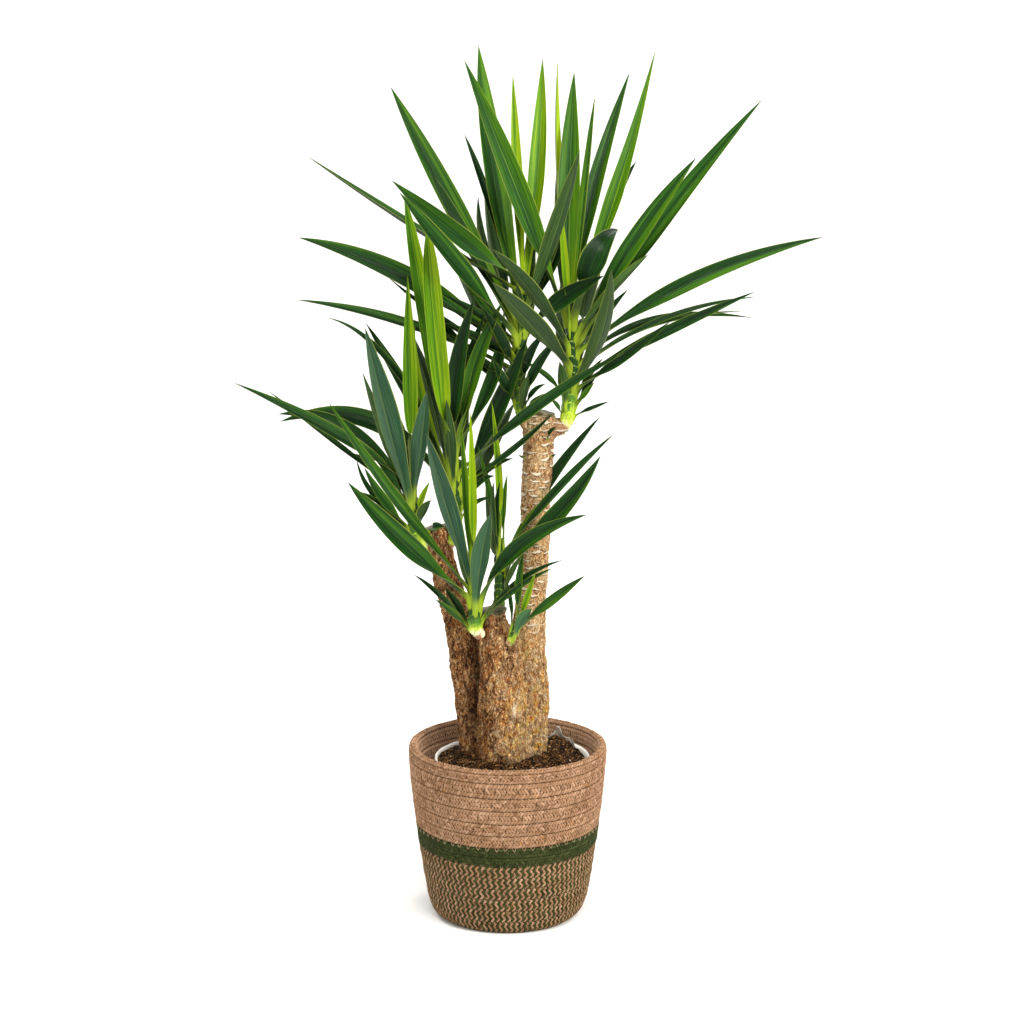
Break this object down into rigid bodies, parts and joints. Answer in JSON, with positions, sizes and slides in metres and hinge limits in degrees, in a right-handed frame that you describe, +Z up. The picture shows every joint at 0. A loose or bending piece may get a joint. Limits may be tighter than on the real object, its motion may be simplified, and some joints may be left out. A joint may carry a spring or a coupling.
{
  "type": "potted yucca",
  "caption": "Branched yucca with sword-shaped leaves on bare corky canes, in a thin nursery pot of soil standing in a round coiled rope basket.",
  "frame": {"origin": "middle of the basket's flat underside", "axes": "+Z up along the plant; -Y is the front, where the short cane stands; +X is the viewer's right"},
  "size_m": [0.786, 0.3, 1.174],
  "materials": {
    "mixed_rope": "matt, green cotton sewn with a tan zigzag",
    "green_rope": "matt dark olive cotton",
    "natural_rope": "matt light brown cotton",
    "pot_plastic": "thin whitish grey plastic",
    "soil": "dark crumbly potting mix with bark chips",
    "bark": "rough corky bark with pale ring scars",
    "wax": "grey-green sealing wax",
    "shoot": "smooth yellow-green leaf sheaths",
    "leaf": "satin green, leathery"
  },
  "bodies": {
    "root": {"front_left_leaf_1": "leaf", "front_left_leaf_2": "leaf", "front_left_leaf_3": "leaf", "front_left_leaf_4": "leaf", "front_left_leaf_5": "leaf", "front_left_shoot": "shoot", "front_rear_leaf_1": "leaf", "front_rear_leaf_2": "leaf", "front_rear_shoot": "shoot", "front_right_leaf_1": "leaf", "front_right_shoot": "shoot", "green_rope_coils": "green_rope", "left_inner_leaf_1": "leaf", "left_inner_leaf_2": "leaf", "left_inner_leaf_3": "leaf", "left_inner_leaf_4": "leaf", "left_inner_leaf_5": "leaf", "left_inner_leaf_6": "leaf", "left_inner_leaf_7": "leaf", "left_inner_leaf_8": "leaf", "left_inner_shoot": "shoot", "left_outer_leaf_1": "leaf", "left_outer_leaf_2": "leaf", "left_outer_leaf_3": "leaf", "left_outer_leaf_4": "leaf", "left_outer_shoot": "shoot", "left_wax_seal": "wax", "mixed_rope_coils": "mixed_rope", "natural_rope_coils": "natural_rope", "nursery_pot": "pot_plastic", "short_wax_seal": "wax", "soil": "soil", "tall_left_leaf_1": "leaf", "tall_left_leaf_10": "leaf", "tall_left_leaf_2": "leaf", "tall_left_leaf_3": "leaf", "tall_left_leaf_4": "leaf", "tall_left_leaf_5": "leaf", "tall_left_leaf_6": "leaf", "tall_left_leaf_7": "leaf", "tall_left_leaf_8": "leaf", "tall_left_leaf_9": "leaf", "tall_left_shoot": "shoot", "tall_right_leaf_1": "leaf", "tall_right_leaf_10": "leaf", "tall_right_leaf_11": "leaf", "tall_right_leaf_12": "leaf", "tall_right_leaf_13": "leaf", "tall_right_leaf_14": "leaf", "tall_right_leaf_2": "leaf", "tall_right_leaf_3": "leaf", "tall_right_leaf_4": "leaf", "tall_right_leaf_5": "leaf", "tall_right_leaf_6": "leaf", "tall_right_leaf_7": "leaf", "tall_right_leaf_8": "leaf", "tall_right_leaf_9": "leaf", "tall_right_shoot": "shoot", "tall_wax_seal": "wax", "trunk": "bark"}
  },
  "joints": []
}
